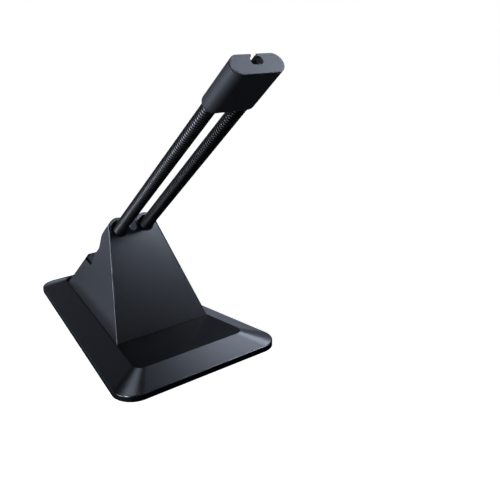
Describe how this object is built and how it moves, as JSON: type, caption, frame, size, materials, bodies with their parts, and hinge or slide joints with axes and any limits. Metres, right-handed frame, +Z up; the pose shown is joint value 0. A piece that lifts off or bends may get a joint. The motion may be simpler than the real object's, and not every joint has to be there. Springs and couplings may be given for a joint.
{
  "type": "mouse bungee",
  "caption": "Weighted wedge-shaped desk stand with a sprung twin-coil arm whose oval head grips a mouse cable and holds it clear of the desk.",
  "frame": {"origin": "middle of the rubber pad's lower face, where the stand touches the desk", "axes": "+Z up, the arm leans towards -Y (the front), +X to the right seen from the front"},
  "size_m": [0.077, 0.161, 0.127],
  "materials": {
    "shell_plastic": "fine matt texture",
    "panel_plastic": "fine matt texture",
    "head_plastic": "fine matt texture",
    "cover_plastic": "plain matt",
    "plug_plastic": "plain matt",
    "clip_rubber": "soft matt",
    "pad_rubber": "fine grain",
    "spring_steel": "black oxide, satin",
    "ballast_steel": "zinc plated",
    "screw_steel": "zinc plated"
  },
  "bodies": {
    "base": {"base_shell": "shell_plastic", "ballast_plate": "ballast_steel", "bottom_cover": "cover_plastic", "cover_screws": "screw_steel", "anti_slip_pad": "pad_rubber", "tower_shell": "shell_plastic", "front_panel": "panel_plastic", "tower_screws": "screw_steel", "spring_block": "panel_plastic", "block_screws": "screw_steel", "rear_cable_clip": "clip_rubber", "left_lower_plug": "plug_plastic", "right_lower_plug": "plug_plastic"},
    "arm": {"left_spring": "spring_steel", "right_spring": "spring_steel"},
    "head": {"left_upper_plug": "plug_plastic", "right_upper_plug": "plug_plastic", "head_body": "head_plastic", "head_cap": "head_plastic", "head_cable_grip": "clip_rubber"}
  },
  "joints": [
    {"name": "arm_flex", "type": "hinge", "parent": "base", "child": "arm", "pos_m": [0, -0.02471, 0.06455], "axis": [1, 0, 0], "range_deg": [-20, 25], "stiffness_Nm_per_rad": 0.08, "springref_deg": -3.61, "deforming": ["left_spring", "right_spring"]},
    {"name": "arm_sway", "type": "hinge", "parent": "arm", "child": "head", "pos_m": [0, -0.06022, 0.09488], "axis": [0, 0.6494, 0.7604], "range_deg": [-22, 22], "stiffness_Nm_per_rad": 0.05, "deforming": ["left_spring", "right_spring"]}
  ]
}
